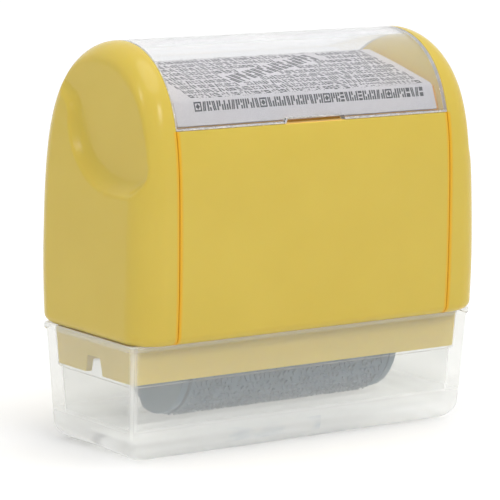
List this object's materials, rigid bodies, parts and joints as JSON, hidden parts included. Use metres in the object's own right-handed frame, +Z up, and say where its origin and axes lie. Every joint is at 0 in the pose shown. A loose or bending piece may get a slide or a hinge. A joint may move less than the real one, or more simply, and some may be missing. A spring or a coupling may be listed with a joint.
{
  "type": "privacy roller stamp",
  "caption": "Self-inking roller stamp with an arched housing, thumb scoops, a clear lid over a label card, and a frosted cap.",
  "frame": {"origin": "centre of the closed stamp's footprint, on the surface that the cap stands on", "axes": "+Z up, +X along the stamp and its rollers, -Y towards the front, where the pry notch is"},
  "size_m": [0.062, 0.03, 0.06],
  "materials": {
    "housing_yellow": "satin moulded plastic, slightly translucent",
    "inner_yellow": "satin moulded plastic",
    "frosted_cap": "frosted clear plastic",
    "clear_window": "polished clear plastic",
    "card": "printed card",
    "die_rubber": "inked rubber with raised marks",
    "felt": "ink-soaked felt",
    "grey_plastic": "fine matte",
    "nylon": "natural nylon",
    "steel": "ground pin",
    "spring_steel": "bright spring strip"
  },
  "bodies": {
    "housing": {"base_frame": "housing_yellow", "left_cheek": "housing_yellow", "right_cheek": "housing_yellow", "front_panel": "housing_yellow", "rear_panel": "housing_yellow", "label_card": "card", "label_bed": "inner_yellow", "left_side_plate": "inner_yellow", "right_side_plate": "inner_yellow", "front_tie_bar": "grey_plastic", "rear_tie_bar": "grey_plastic", "print_bush_left": "nylon", "print_bush_right": "nylon", "ink_block_left": "nylon", "ink_block_right": "nylon", "ink_spring_left": "spring_steel", "ink_spring_right": "spring_steel"},
    "cap": {"cap": "frosted_cap"},
    "window": {"window": "clear_window"},
    "print_roller": {"print_axle": "steel", "print_drum": "grey_plastic", "print_die": "die_rubber", "print_flange_left": "grey_plastic", "print_flange_right": "grey_plastic"},
    "ink_roller": {"ink_axle": "steel", "ink_core": "grey_plastic", "ink_sleeve": "felt", "ink_cap_left": "grey_plastic", "ink_cap_right": "grey_plastic"}
  },
  "joints": [
    {"name": "cap_slide", "type": "slide", "parent": "housing", "child": "cap", "axis": [0, 0, -1], "range_m": [0, 0.022]},
    {"name": "window_hinge", "type": "hinge", "parent": "housing", "child": "window", "pos_m": [0, 0.01316, 0.049], "axis": [-1, 0, 0], "range_deg": [0, 75]},
    {"name": "print_roller_spin", "type": "hinge", "parent": "housing", "child": "print_roller", "pos_m": [0, 0, 0.01324], "axis": [1, 0, 0], "continuous": true},
    {"name": "ink_roller_spin", "type": "hinge", "parent": "housing", "child": "ink_roller", "pos_m": [0, 0, 0.03007], "axis": [1, 0, 0], "continuous": true}
  ],
  "couplings": [
    {"joint": "ink_roller_spin", "follows": "print_roller_spin", "ratio": -1.2677}
  ]
}
